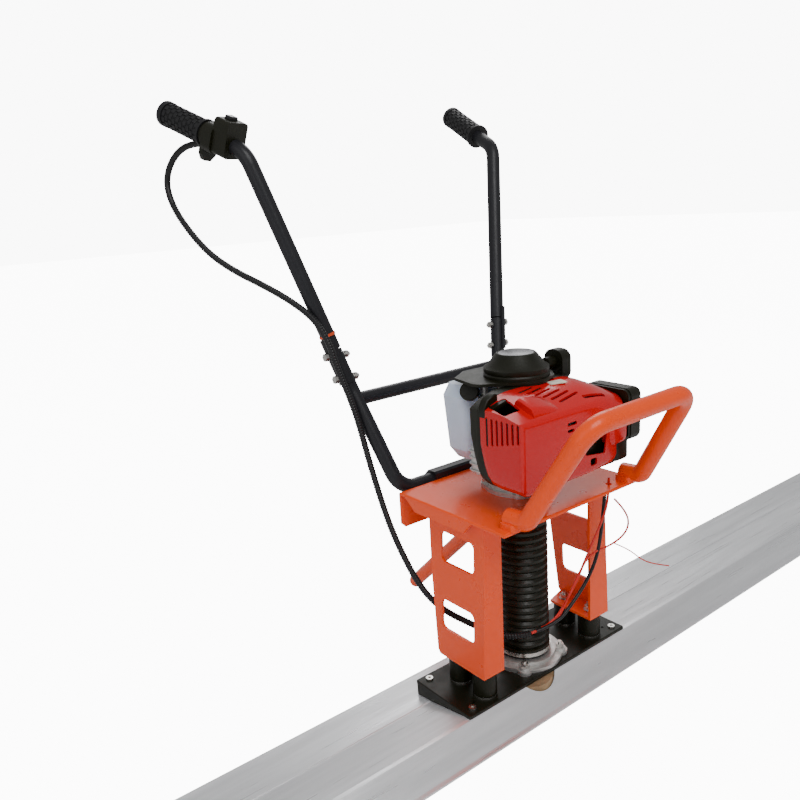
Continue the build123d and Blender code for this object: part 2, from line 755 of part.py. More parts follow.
with BuildPart() as air_filter_cover:
    with BuildSketch(Plane.YZ.offset(106.3)):
        with Locations((-72, 408)):
            RectangleRounded(78, 74, 11)
    extrude(amount=26)
    fillet(air_filter_cover.faces().sort_by(Axis.X)[-1].edges(), 8)
    with BuildSketch(Plane.YZ.offset(106)):
        with Locations((-72, 408)):
            RectangleRounded(72, 68, 8)
    extrude(amount=20.5, mode=Mode.SUBTRACT)
finish(air_filter_cover, "air_filter_cover")

with BuildPart() as choke_lever:
    with BuildSketch(Plane.XY.offset(424.4)):
        with Locations((62, -74)):
            Circle(5)
        with Locations((62, -84)):
            Rectangle(5, 22)
    extrude(amount=3)
finish(choke_lever, "choke_lever")

with BuildPart() as primer_bulb:
    with BuildSketch(Plane.XY.offset(387.6)):
        with Locations((60, -72)):
            Circle(9)
    extrude(amount=-9)
    fillet(primer_bulb.faces().sort_by(Axis.Z)[0].edges(), 7)
finish(primer_bulb, "primer_bulb")

# ---------------------------------------------------------------- red shroud
SHROUD_PLAN = [
    (SHROUD_LEFT, SHROUD_BACK),
    (SHROUD_LEFT, SHROUD_FRONT),
    (SHROUD_RIGHT - 28, SHROUD_FRONT),
    (SHROUD_RIGHT, SHROUD_FRONT + 24),
    (SHROUD_RIGHT, SHROUD_BACK),
]
SHROUD_PEAK = 463


def crown_cut():
    """Everything above the shroud's crowned top: slopes to the front, the left and the right."""
    with BuildPart() as cut:
        with BuildSketch(Plane.YZ.offset(-120)):
            with BuildLine():
                Polyline(
                    (-125, 434), (-50, SHROUD_PEAK), (-20, SHROUD_PEAK), (-20, 500), (-125, 500),
                    close=True,
                )
            make_face()
        extrude(amount=240)
        with BuildSketch(Plane.XZ.offset(20)):
            with BuildLine():
                Polyline((-120, 440), (-50, 464), (-50, 500), (-120, 500), close=True)
            make_face()
            with BuildLine():
                Polyline((120, 428), (50, 464), (50, 500), (120, 500), close=True)
            make_face()
        extrude(amount=110)
    return cut.part


SHROUD_CROWN = crown_cut()

with BuildPart() as engine_shroud:
    with BuildSketch(Plane.XY.offset(SHROUD_BOTTOM)) as plan:
        with BuildLine():
            Polyline(*SHROUD_PLAN, close=True)
        make_face()
        fillet(plan.vertices().group_by(Axis.Y)[0], 7)
    extrude(amount=SHROUD_PEAK + 1 - SHROUD_BOTTOM)
    add(SHROUD_CROWN, mode=Mode.SUBTRACT)
    with BuildPart(mode=Mode.PRIVATE) as shroud_inside:
        with BuildSketch(Plane.XY.offset(SHROUD_BOTTOM - 1)):
            with BuildLine():
                Polyline(
                    (SHROUD_LEFT + SHELL, SHROUD_BACK + 1),
                    (SHROUD_LEFT + SHELL, SHROUD_FRONT + SHELL),
                    (SHROUD_RIGHT - 29, SHROUD_FRONT + SHELL),
                    (SHROUD_RIGHT - SHELL, SHROUD_FRONT + 25),
                    (SHROUD_RIGHT - SHELL, SHROUD_BACK + 1),
                    close=True,
                )
            make_face()
        extrude(amount=SHROUD_PEAK - SHROUD_BOTTOM)
        add(SHROUD_CROWN.moved(Location((0, 0, -SHELL))), mode=Mode.SUBTRACT)
    add(shroud_inside.part, mode=Mode.SUBTRACT)
    with BuildSketch(Plane.YZ.offset(SHROUD_LEFT - 1)):
        for i in range(7):
            with Locations((-100 + 9.4 * i, 417)):
                SlotOverall(40, 3.6, rotation=90)
    extrude(amount=SHELL + 2, mode=Mode.SUBTRACT)
    with BuildSketch(Plane.XY.offset(430)):
        with Locations((-76, -56)):
            Rectangle(26, 34)
        for i in range(6):
            with Locations((-22 + 16 * i, -72)):
                SlotOverall(22, 5, rotation=60)
    extrude(amount=50, mode=Mode.SUBTRACT)
    with BuildSketch(Plane.YZ.offset(SHROUD_RIGHT - 18)):
        with Locations((-76, 404)):
            RectangleRounded(34, 34, 6)
    extrude(amount=20, mode=Mode.SUBTRACT)
    with BuildSketch(Plane.XZ.offset(-SHROUD_FRONT - SHELL - 1)):
        with Locations((26, 397)):
            RectangleRounded(40, 32, 7)
    extrude(amount=SHELL + 3, mode=Mode.SUBTRACT)
finish(engine_shroud, "engine_shroud")

# ---------------------------------------------------------------- fuel tank
TANK_CAP_POINT = (-50, 41, 449)
TANK_CAP_AXIS = Vector(-0.72, -0.6, 0.35).normalized()
CAP_BASE = tuple(Vector(*TANK_CAP_POINT) + TANK_CAP_AXIS * 1.0)
CAP_PLANE = Plane(origin=CAP_BASE, z_dir=TANK_CAP_AXIS)

with BuildPart() as fuel_tank:
    with BuildSketch(Plane.XY.offset(346)):
        with Locations((-1, 68)):
            RectangleRounded(88, 36, 12)
    with BuildSketch(Plane.XY.offset(362)):
        with Locations((-1, 67)):
            RectangleRounded(110, 46, 12)
    with BuildSketch(Plane.XY.offset(440)):
        with Locations((-1, 67)):
            RectangleRounded(122, 50, 12)
    with BuildSketch(Plane.XY.offset(457)):
        with Locations((-1, 67)):
            RectangleRounded(108, 40, 12)
    loft(ruled=True)
    with BuildSketch(CAP_PLANE):
        Circle(11)
    extrude(amount=-16)
    with BuildSketch(CAP_PLANE):
        Circle(7)
    extrude(amount=-6, mode=Mode.SUBTRACT)
finish(fuel_tank, "fuel_tank")

with BuildPart() as fuel_cap:
    with BuildSketch(CAP_PLANE.offset(0.3)):
        Circle(13)
    extrude(amount=10)
    chamfer(fuel_cap.edges().filter_by(GeomType.CIRCLE).sort_by(SortBy.DISTANCE)[-1:], 1)
finish(fuel_cap, "fuel_cap")

# ---------------------------------------------------------------- recoil starter
with BuildPart() as starter_cover:
    with BuildSketch(Plane.XY.offset(STARTER_RIM_Z)):
        with BuildLine():
            Polyline(
                (-78, 4), (-66, -14), (-40, -22), (46, -22), (54, 10), (56, 46), (20, 76), (-30, 78),
                (-68, 56), close=True,
            )
        make_face()
    extrude(amount=6)
    with BuildSketch(Plane.XZ):
        with BuildLine():
            Polyline(
                (0, STARTER_RIM_Z), (50, STARTER_RIM_Z), (49.5, 484), (45, 487), (33, STARTER_TOP),
                (0, STARTER_TOP), close=True,
            )
        make_face()
    revolve(axis=Axis.Z)
    with BuildSketch(Plane.XY.offset(STARTER_RIM_Z)):
        Circle(44)
    extrude(amount=17, mode=Mode.SUBTRACT)
    with BuildSketch(Plane.XY.offset(STARTER_RIM_Z + 17)):
        Circle(28)
    extrude(amount=15, mode=Mode.SUBTRACT)
    with BuildSketch(Plane.YZ.offset(40)):
        with Locations((0, 475)):
            Circle(3)
    extrude(amount=30, mode=Mode.SUBTRACT)
finish(starter_cover, "starter_cover")

with BuildPart() as starter_badge:
    with BuildSketch(Plane.XY.offset(STARTER_TOP)):
        Circle(29)
    extrude(amount=1)
finish(starter_badge, "starter_top_disc")

with BuildPart() as starter_reel:
    with BuildSketch(Plane.XY.offset(474)):
        Circle(REEL_R + 3)
    extrude(amount=8)
    with BuildSketch(Plane.XY.offset(476)):
        Circle(60)
        Circle(REEL_R, mode=Mode.SUBTRACT)
    extrude(amount=4, mode=Mode.SUBTRACT)
    with BuildSketch(Plane.XY.offset(482)):
        Circle(12)
    extrude(amount=14)
finish(starter_reel, "starter_reel")

GRIP_X = 58
with BuildPart() as starter_grip:
    with BuildSketch(Plane.YZ.offset(GRIP_X)):
        with Locations((0, 475)):
            Circle(9)
    with BuildSketch(Plane.YZ.offset(GRIP_X + 16)):
        with Locations((0, 475)):
            Circle(10)
    loft()
    with BuildSketch(Plane.YZ.offset(GRIP_X + 14)):
        with Locations((-3, 471)):
            RectangleRounded(34, 46, 14)
    extrude(amount=24)
    fillet(starter_grip.faces().sort_by(Axis.X)[-1].edges(), 9)
finish(starter_grip, "starter_grip")

with BuildPart() as starter_rope:
    with BuildSketch(Plane.YZ.offset(46)):
        with Locations((0, 475)):
            Circle(1.8)
    extrude(amount=GRIP_X - 46)
finish(starter_rope, "starter_rope")

# ---------------------------------------------------------------- handle frame
TUBE_DOWN = unit(ELBOW_POINT, JOINT_POINT)
KNEE_POINT = tuple(Vector(*JOINT_POINT) + TUBE_DOWN * KNEE_DROP)
KNEE_BEND = 45
BOLT_PLACES = [(JOINT_POINT[1], JOINT_POINT[2], 162), (192, 468, 154)]

with BuildPart() as lower_handle_frame:
    top_end = Vector(*JOINT_POINT) - TUBE_DOWN * 8
    with BuildLine() as frame_path:
        FilletPolyline(
            tuple(top_end), KNEE_POINT, (-U_BAR_X, U_BAR_Y, U_BAR_Z), (U_BAR_X, U_BAR_Y, U_BAR_Z),
            mirrored(KNEE_POINT), (-top_end.X, top_end.Y, top_end.Z),
            radius=[KNEE_BEND, 32, 32, KNEE_BEND],
        )
    with BuildSketch(Plane(origin=frame_path.line @ 0, z_dir=frame_path.line % 0)):
        Circle(TUBE_R)
        Circle(TUBE_R - TUBE_WALL, mode=Mode.SUBTRACT)
    sweep()
    with BuildSketch(Plane.YZ):
        with Locations(*[(y, z) for y, z, x in BOLT_PLACES]):
            Circle(BOLT_R + 0.2)
    extrude(amount=220, both=True, mode=Mode.SUBTRACT)
finish(lower_handle_frame, "lower_handle_frame")

with BuildPart() as handle_crossbar:
    with BuildSketch(Plane.YZ):
        with Locations((CROSSBAR_Y, CROSSBAR_Z)):
            Circle(BAR_R)
    extrude(amount=150, both=True)
    add(lower_handle_frame.part, mode=Mode.SUBTRACT)
    # drops the stubs left inside the hollow tubes
    for stub in handle_crossbar.solids().sort_by(SortBy.VOLUME)[:-1]:
        add(stub, mode=Mode.SUBTRACT)
finish(handle_crossbar, "handle_crossbar")


def upper_handle(side):
    """One upper handle tube with the half shell at its foot that the lower frame seats in."""
    def at(p):
        return (-side * p[0], p[1], p[2])

    line = unit(at(ELBOW_POINT), at(JOINT_POINT))
    joint = Vector(*at(JOINT_POINT))
    tube_foot = joint - line * 10
    end = Vector(*at(GRIP_END))
    with BuildPart() as handle:
        with BuildLine() as path:
            FilletPolyline(tuple(tube_foot), at(ELBOW_POINT), tuple(end), radius=40)
        with BuildSketch(Plane(origin=path.line @ 0, z_dir=path.line % 0)):
            Circle(TUBE_R)
            Circle(TUBE_R - TUBE_WALL, mode=Mode.SUBTRACT)
        sweep()
        shell_plane = Plane(
            origin=joint - line * 28,
            x_dir=Vector(side, 0, 0) - line * (line.X * side),
            z_dir=line,
        )
        with BuildSketch(shell_plane):
            Circle(TUBE_R + 2.6)
            Circle(TUBE_R, mode=Mode.SUBTRACT)
            with Locations((-16, 0)):
                Rectangle(30, 50, mode=Mode.SUBTRACT)
        extrude(amount=19)
        with BuildSketch(shell_plane.offset(18)):
            Circle(TUBE_R + 2.6)
            Circle(TUBE_R + 0.1, mode=Mode.SUBTRACT)
            with Locations((-16, 0)):
                Rectangle(30, 50, mode=Mode.SUBTRACT)
        extrude(amount=52)
        with BuildSketch(Plane.YZ):
            with Locations(*[(y, z) for y, z, x in BOLT_PLACES]):
                Circle(BOLT_R + 0.2)
        extrude(amount=side * 220, mode=Mode.SUBTRACT)
    return handle


left_upper_handle = upper_handle(-1)
finish(left_upper_handle, "left_upper_handle")
right_upper_handle = upper_handle(1)
finish(right_upper_handle, "right_upper_handle")

with BuildPart() as handle_joint_bolts:
    for side in (-1, 1):
        for y, z, x in BOLT_PLACES:
            with BuildSketch(Plane.YZ.offset(side * (x + 15.5))):
                with Locations((y, z)):
                    RegularPolygon(6, 6)
            extrude(amount=side * 5)
            with BuildSketch(Plane.YZ.offset(side * (x - 14))):
                with Locations((y, z)):
                    RegularPolygon(5.6, 6)
            extrude(amount=-side * 5)
            with BuildSketch(Plane.YZ.offset(side * (x + 16))):
                with Locations((y, z)):
                    Circle(BOLT_R)
            extrude(amount=-side * 38)
finish(handle_joint_bolts, "handle_joint_bolts")

with BuildPart() as frame_clamps:
    with BuildSketch(Plane.YZ.offset(-66)):
        with BuildLine():
            Polyline(
                (DECK_BACK, 281), (CLAMP_BACK, 281), (CLAMP_BACK + 2, 300), (CLAMP_BACK + 1, 312),
                (CLAMP_BACK - 6, 319), (DECK_BACK + 3, 319), (DECK_BACK, 316), close=True,
            )
        make_face()
        with Locations((U_BAR_Y, U_BAR_Z)):
            Circle(TUBE_R, mode=Mode.SUBTRACT)
    extrude(amount=132)
    with BuildSketch(Plane.XZ.offset(-DECK_BACK + 1)):
        with Locations(*CLAMP_BOLTS):
            Circle(BOLT_R + 0.3)
    extrude(amount=-40, mode=Mode.SUBTRACT)
    with BuildSketch(Plane.XZ.offset(-CLAMP_BACK)):
        with Locations(*CLAMP_BOLTS):
            RegularPolygon(5.6, 6)
    extrude(amount=-6, mode=Mode.SUBTRACT)
finish(frame_clamps, "frame_clamps")

# ---------------------------------------------------------------- grips and controls
GRIP_AXIS = unit(ELBOW_POINT, GRIP_END)
GRIP_SIDE = Vector(-GRIP_AXIS.Y, GRIP_AXIS.X, 0).normalized()
REACH = (Vector(*GRIP_END) - Vector(*ELBOW_POINT)).length


def grip_plane(side, distance):
    """Plane across the grip axis, distance from the elbow; local y points up."""
    flip = 1 if side < 0 else -1
    return Plane(
        origin=Vector(flip * ELBOW_POINT[0], ELBOW_POINT[1], ELBOW_POINT[2])
        + Vector(flip * GRIP_AXIS.X, GRIP_AXIS.Y, GRIP_AXIS.Z) * distance,
        x_dir=Vector(flip * GRIP_SIDE.X, GRIP_SIDE.Y, 0) * flip,
        z_dir=Vector(flip * GRIP_AXIS.X, GRIP_AXIS.Y, GRIP_AXIS.Z),
    )


def grip(side, start):
    with BuildPart() as sleeve:
        with BuildSketch(grip_plane(side, start)):
            Circle(20)
        extrude(amount=4)
        with BuildSketch(grip_plane(side, start + 4)):
            Circle(16.5)
        extrude(amount=REACH - start - 2)
        with BuildSketch(grip_plane(side, REACH - 3)):
            Circle(18.5)
        extrude(amount=9)
        with BuildSketch(grip_plane(side, start - 1)):
            Circle(TUBE_R)
        extrude(amount=REACH - start + 1, mode=Mode.SUBTRACT)
    return sleeve


left_grip = grip(-1, REACH - 86)
finish(left_grip, "left_grip")
right_grip = grip(1, REACH - 106)
finish(right_grip, "right_grip")

OUTLET = (-22.5, -21)
HOUSING_END = 67.5

with BuildPart() as throttle_housing:
    with BuildSketch(grip_plane(-1, 48)):
        RectangleRounded(42, 40, 12)
    extrude(amount=HOUSING_END - 48)
    with BuildSketch(grip_plane(-1, 56)):
        with Locations(OUTLET):
            Circle(8)
        with Locations((OUTLET[0] / 2, OUTLET[1] / 2)):
            Rectangle(20, 20)
    extrude(amount=HOUSING_END - 56)
    with BuildSketch(grip_plane(-1, 20)):
        with Locations((0, 8)):
            RectangleRounded(36, 50, 6)
    extrude(amount=29)
    with BuildSketch(grip_plane(-1, 10)):
        Circle(TUBE_R)
    extrude(amount=70, mode=Mode.SUBTRACT)
    with BuildSketch(grip_plane(-1, 30)):
        with Locations((0, 30)):
            RectangleRounded(14.4, 10, 2)
    extrude(amount=12, mode=Mode.SUBTRACT)
finish(throttle_housing, "throttle_housing")

with BuildPart() as stop_switch:
    with BuildSketch(grip_plane(-1, 30.4)):
        with Locations((0, 33.25)):
            RectangleRounded(13.4, 9.5, 2)
    extrude(amount=11.2)
finish(stop_switch, "stop_switch")

# the throttle lever is a ring that turns on the handle tube, with a finger lobe under it
with BuildPart() as throttle_lever:
    with BuildSketch(grip_plane(-1, HOUSING_END + 0.4)):
        Circle(18)
        with BuildLine():
            Polyline((-11, -13), (-12, -28), (-4, -36), (8, -35), (13, -26), (13, -12), close=True)
        make_face()
        Circle(TUBE_R + RUNNING, mode=Mode.SUBTRACT)
    extrude(amount=9)
finish(throttle_lever, "throttle_lever")

# ---------------------------------------------------------------- conduit, wires and the tie
CONDUIT_POINTS = [
    (-233.5, 345.8, 796.5),
    (-240, 372, 808),
    (-247, 400, 813),
    (-261, 428, 808),
    (-274, 448, 786),
    (-281, 454, 756),
    (-280, 438, 722),
    (-271, 413, 687),
    (-258, 379, 652),
    (-242, 333, 626),
    (-225, 281, 606),
    (-207, 234, 583),
    (-191, 201, 557),
    (-182, 184, 523),
    (-176, 179, 490),
    (-168, 172, 457),
    (-161, 164, 422),
    (-156, 158, 386),
    (-152, 152, 350),
    (-148, 144, 314),
    (-145, 133, 278),
    (-142, 120, 244),
    (-137, 104, 210),
    (-131, 87, 178),
    (-121, 70, 150),
    (-104, 54, 127),
    (-84, 32, 111),
    (-68, 2, 101),
    (-56, -28, 99),
    (-32, -46, 104),
]


def smooth_radii(points, share=0.45):
    """Each arc's radius: share of the shorter run over the tangent of half the turn."""
    radii = []
    for a, b, c in zip(points, points[1:], points[2:]):
        before, after = Vector(*b) - Vector(*a), Vector(*c) - Vector(*b)
        turn = math.radians(before.get_angle(after))
        radii.append(share * min(before.length, after.length) / math.tan(turn / 2))
    return radii


def tube_along(points, radius):
    with BuildPart() as tube:
        with BuildLine() as path:
            FilletPolyline(*points, radius=smooth_radii(points))
        with BuildSketch(Plane(origin=path.line @ 0, z_dir=path.line % 0)):
            Circle(radius)
        sweep()
    length = sum(edge.length for edge in path.line.edges())
    volume_share = tube.part.volume / (math.pi * radius**2 * length)
    print("tube length", round(length), "volume share", round(volume_share, 4))
    print("radii", [round(r) for r in smooth_radii(points)])
    return tube


throttle_conduit = tube_along(CONDUIT_POINTS, CONDUIT_R)
finish(throttle_conduit, "throttle_conduit")

STOP_WIRE_POINTS = [
    (-31, -46.3, 104.3),
    (-12, -53, 108),
    (12, -56, 116),
    (36, -56, 136),
    (54, -58, 160),
    (66, -62, 186),
    (76, -68, 214),
    (84, -76, 242),
    (88, -84, 270),
    (88, -88, 299),
    (88, -88, 318),
]
stop_wires = tube_along(STOP_WIRE_POINTS, 1.8)
finish(stop_wires, "stop_switch_wires")

with BuildPart() as cable_tie:
    tie_centre = Vector(*JOINT_POINT) - TUBE_DOWN * 34
    with BuildSketch(Plane(origin=tie_centre, z_dir=TUBE_DOWN)):
        Circle(TUBE_R + 1.2)
        Circle(TUBE_R, mode=Mode.SUBTRACT)
    extrude(amount=4)
finish(cable_tie, "cable_tie")

# ---------------------------------------------------------------- parking leg
with BuildPart() as parking_leg:
    direction = unit(LEG_PIVOT, LEG_END)
    with BuildSketch(Plane(origin=LEG_PIVOT, z_dir=direction)):
        Circle(LEG_R)
    extrude(amount=(Vector(*LEG_END) - Vector(*LEG_PIVOT)).length)
    with BuildSketch(Plane.YZ.offset(-14.5)):
        with Locations((LEG_PIVOT[1], LEG_PIVOT[2])):
            Circle(11.4)
    extrude(amount=29)
    fillet(parking_leg.edges().filter_by(GeomType.CIRCLE).sort_by(Axis.Y)[-1], 6)
    with BuildSketch(Plane.YZ.offset(-20)):
        with Locations((LEG_PIVOT[1], LEG_PIVOT[2])):
            Circle(5 + RUNNING)
    extrude(amount=40, mode=Mode.SUBTRACT)
finish(parking_leg, "parking_leg")

with BuildPart() as leg_pin:
    with BuildSketch(Plane.YZ.offset(-22)):
        with Locations((LEG_PIVOT[1], LEG_PIVOT[2])):
            Circle(5)
    extrude(amount=44)
    for x, amount in ((19, 3), (-19, -3)):
        with BuildSketch(Plane.YZ.offset(x)):
            with Locations((LEG_PIVOT[1], LEG_PIVOT[2])):
                Circle(8)
        extrude(amount=amount)
finish(leg_pin, "leg_pin")
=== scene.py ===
import json
import math

import bmesh
import bpy
from mathutils import Matrix, Vector


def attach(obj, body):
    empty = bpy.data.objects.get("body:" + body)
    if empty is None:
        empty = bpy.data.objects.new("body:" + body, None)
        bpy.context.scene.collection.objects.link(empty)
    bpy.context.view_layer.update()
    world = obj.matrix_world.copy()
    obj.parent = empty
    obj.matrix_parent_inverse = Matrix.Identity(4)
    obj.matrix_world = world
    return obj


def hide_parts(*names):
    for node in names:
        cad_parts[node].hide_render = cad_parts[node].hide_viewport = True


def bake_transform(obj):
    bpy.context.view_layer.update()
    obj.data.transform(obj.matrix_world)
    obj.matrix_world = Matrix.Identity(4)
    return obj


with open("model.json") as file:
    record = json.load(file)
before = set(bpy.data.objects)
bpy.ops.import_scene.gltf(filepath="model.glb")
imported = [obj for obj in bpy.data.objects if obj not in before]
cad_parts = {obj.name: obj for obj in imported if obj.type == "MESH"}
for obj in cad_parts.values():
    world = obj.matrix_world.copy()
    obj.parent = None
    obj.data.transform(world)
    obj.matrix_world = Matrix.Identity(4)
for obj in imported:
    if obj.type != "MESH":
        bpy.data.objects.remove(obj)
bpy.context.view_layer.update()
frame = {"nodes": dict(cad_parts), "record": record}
NODES = frame["nodes"]
scene = bpy.context.scene


# ------------------------------------------------------------------ materials
def surface(
    name,
    color,
    rough,
    metallic=0.0,
    coat=0.0,
    grain=700.0,
    grain_depth=0.08,
    blotch=9.0,
    spread=0.1,
    rough_spread=0.08,
    stretch=(1.0, 1.0, 1.0),
    specks=0.0,
    speck_color=(0.6, 0.55, 0.5),
    transmission=0.0,
    subsurface=0.0,
    specular=0.3,
):
    """A Principled material whose colour, roughness and bump all vary with noise in object space."""
    mat = bpy.data.materials.new(name)
    mat.use_nodes = True
    tree = mat.node_tree
    nodes, links = tree.nodes, tree.links
    shader = nodes["Principled BSDF"]
    shader.inputs["Metallic"].default_value = metallic
    shader.inputs["Coat Weight"].default_value = coat
    shader.inputs["Specular IOR Level"].default_value = specular
    shader.inputs["Coat Roughness"].default_value = 0.06
    shader.inputs["Transmission Weight"].default_value = transmission
    shader.inputs["Subsurface Weight"].default_value = subsurface
    shader.inputs["Subsurface Radius"].default_value = (0.01, 0.01, 0.012)
    coord = nodes.new("ShaderNodeTexCoord")
    mapping = nodes.new("ShaderNodeMapping")
    mapping.inputs["Scale"].default_value = stretch
    links.new(coord.outputs["Object"], mapping.inputs["Vector"])

    def noise(scale, detail, seed):
        n = nodes.new("ShaderNodeTexNoise")
        n.noise_dimensions = "4D"
        n.inputs["W"].default_value = seed
        n.inputs["Scale"].default_value = scale
        n.inputs["Detail"].default_value = detail
        n.inputs["Roughness"].default_value = 0.6
        links.new(mapping.outputs["Vector"], n.inputs["Vector"])
        return n.outputs["Fac"]

    def remap(value, low, high, to_low, to_high):
        m = nodes.new("ShaderNodeMapRange")
        m.inputs["From Min"].default_value = low
        m.inputs["From Max"].default_value = high
        m.inputs["To Min"].default_value = to_low
        m.inputs["To Max"].default_value = to_high
        links.new(value, m.inputs["Value"])
        return m.outputs["Result"]

    def mix(factor, a, b):
        m = nodes.new("ShaderNodeMix")
        m.data_type = "RGBA"
        links.new(factor, m.inputs["Factor"])
        for socket, value in ((m.inputs["A"], a), (m.inputs["B"], b)):
            if isinstance(value, tuple):
                socket.default_value = (*value, 1.0)
            else:
                links.new(value, socket)
        return m.outputs["Result"]

    dark = tuple(max(0.0, c * (1 - spread)) for c in color)
    light = tuple(min(1.0, c * (1 + spread) + 0.004 * spread) for c in color)
    tone = mix(remap(noise(blotch, 6.0, 1.3), 0.3, 0.7, 0.0, 1.0), dark, light)
    if specks:
        spots = remap(noise(blotch * 14, 3.0, 5.1), 0.72 - 0.1 * specks, 0.8, 0.0, 0.8)
        tone = mix(spots, tone, speck_color)
    links.new(tone, shader.inputs["Base Color"])
    smoothest, roughest = max(0.02, rough - rough_spread), min(1.0, rough + rough_spread)
    links.new(
        remap(noise(blotch * 5, 4.0, 2.7), 0.3, 0.7, smoothest, roughest),
        shader.inputs["Roughness"],
    )
    bump = nodes.new("ShaderNodeBump")
    bump.inputs["Strength"].default_value = grain_depth
    bump.inputs["Distance"].default_value = 0.001
    links.new(noise(grain, 2.0, 3.9), bump.inputs["Height"])
    links.new(bump.outputs["Normal"], shader.inputs["Normal"])
    return mat


M = {
    "blade_aluminium": surface(
        "blade_aluminium", (0.82, 0.83, 0.85), 0.36, metallic=0.6, grain=420, grain_depth=0.22,
        blotch=26, spread=0.16, rough_spread=0.13, stretch=(0.05, 1.0, 1.0), specks=0.3,
        speck_color=(0.42, 0.42, 0.42),
    ),
    "black_steel": surface(
        "black_steel", (0.006, 0.006, 0.002), 0.42, grain=900, grain_depth=0.12, specks=0.1,
        speck_color=(0.06, 0.06, 0.06),
    ),
    "zinc_steel": surface(
        "zinc_steel", (0.62, 0.61, 0.58), 0.28, metallic=1.0, grain=1200, blotch=60, spread=0.2,
    ),
    "mount_rubber": surface("mount_rubber", (0.006, 0.006, 0.001), 0.42, grain=500, grain_depth=0.15),
    "frame_red": surface(
        "frame_red", (0.95, 0.075, 0.002), 0.3, coat=0.12, grain=260, grain_depth=0.05, blotch=6,
        spread=0.05, rough_spread=0.05, specks=0.0,
    ),
    "cast_aluminium": surface(
        "cast_aluminium", (0.6, 0.6, 0.58), 0.4, metallic=0.8, grain=520, grain_depth=0.5,
        blotch=40, spread=0.15,
    ),
    "tan_casting": surface(
        "tan_casting", (0.4, 0.27, 0.15), 0.55, metallic=0.35, grain=480, grain_depth=0.5,
        blotch=50, spread=0.35,
    ),
    "bearing_steel": surface("bearing_steel", (0.7, 0.7, 0.7), 0.15, metallic=1.0),
    "shaft_steel": surface("shaft_steel", (0.45, 0.45, 0.46), 0.25, metallic=1.0, blotch=50),
    "boot_rubber": surface(
        "boot_rubber", (0.006, 0.006, 0.001), 0.36, grain=380, grain_depth=0.15, blotch=20,
        spread=0.3, rough_spread=0.12,
    ),
    "black_plastic": surface("black_plastic", (0.006, 0.006, 0.001), 0.4, grain=1100, grain_depth=0.2),
    "muffler_steel": surface(
        "muffler_steel", (0.05, 0.048, 0.045), 0.55, metallic=0.5, blotch=30, spread=0.4,
    ),
    "filter_foam": surface("filter_foam", (0.05, 0.05, 0.05), 0.9, grain=600, grain_depth=0.9),
    "engine_red": surface(
        "engine_red", (0.58, 0.002, 0.004), 0.2, coat=0.2, grain=240, grain_depth=0.03, blotch=7,
        spread=0.06, rough_spread=0.05,
    ),
    "tank_plastic": surface(
        "tank_plastic", (0.66, 0.74, 0.88), 0.32, grain=300, grain_depth=0.05, spread=0.05,
        subsurface=0.5,
    ),
    "silver_trim": surface(
        "silver_trim", (0.22, 0.22, 0.23), 0.32, metallic=0.5, blotch=60, spread=0.3,
    ),
    "rope_nylon": surface("rope_nylon", (0.55, 0.55, 0.52), 0.7, grain=900, grain_depth=0.6),
    "tube_black": surface(
        "tube_black", (0.014, 0.014, 0.017), 0.38, grain=420, grain_depth=0.1, specks=0.05,
        speck_color=(0.08, 0.08, 0.08),
    ),
    "grip_rubber": surface("grip_rubber", (0.012, 0.012, 0.013), 0.5, grain=700, grain_depth=0.3),
    "switch_plastic": surface("switch_plastic", (0.012, 0.012, 0.013), 0.3, coat=0.2),
    "conduit_plastic": surface("conduit_plastic", (0.012, 0.012, 0.013), 0.34, grain=800),
    "wire_red": surface("wire_red", (0.62, 0.03, 0.02), 0.35),
    "tie_plastic": surface("tie_plastic", (0.7, 0.08, 0.02), 0.35),
}
M["label_pale"] = surface("label_pale", (0.78, 0.74, 0.6), 0.4, blotch=120, spread=0.25)
for entry in frame["record"]["subparts"]:
    node = NODES[entry["node"]]
    for material_slot in node.material_slots:
        material_slot.material = M[entry["material_slot"]]


# ------------------------------------------------------------------ mesh helpers
def new_piece(name, verts, faces, material, body="machine", sharp=38, millimetres=True):
    """A smooth-shaded mesh piece that rides on a body and takes its finish from a material slot."""
    scale = 0.001 if millimetres else 1.0
    mesh = bpy.data.meshes.new(name)
    mesh.from_pydata([tuple(c * scale for c in v) for v in verts], [], faces)
    mesh.validate()
    bm = bmesh.new()
    bm.from_mesh(mesh)
    bmesh.ops.remove_doubles(bm, verts=bm.verts, dist=1e-6)
    bmesh.ops.recalc_face_normals(bm, faces=bm.faces)
    bm.to_mesh(mesh)
    bm.free()
    return dress(name, mesh, material, body, sharp)


def dress(name, mesh, material, body="machine", sharp=38):
    mesh.materials.clear()
    mesh.materials.append(M[material])
    mesh.polygons.foreach_set("use_smooth", [True] * len(mesh.polygons))
    mesh.set_sharp_from_angle(angle=math.radians(sharp))
    piece = bpy.data.objects.new(name, mesh)
    bpy.context.collection.objects.link(piece)
    if body:
        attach(piece, body)
    return piece


def rings(loops, closed_rings=True, cap_start=True, cap_end=True):
    """Vertices and faces that join a row of equal loops."""
    n = len(loops[0])
    verts = [v for loop in loops for v in loop]
    faces = []
    for i in range(len(loops) - 1):
        for j in range(n if closed_rings else n - 1):
            a, b = i * n + j, i * n + (j + 1) % n
            faces.append((a, b, b + n, a + n))
    if cap_start:
        faces.append(tuple(range(n))[::-1])
    if cap_end:
        faces.append(tuple((len(loops) - 1) * n + j for j in range(n)))
    return verts, faces


def frame_of(axis, side=None):
    axis = Vector(axis).normalized()
    side = Vector(side) if side else (Vector((0, 0, 1)) if abs(axis.z) < 0.9 else Vector((1, 0, 0)))
    x = (side - axis * side.dot(axis)).normalized()
    return x, axis.cross(x), axis


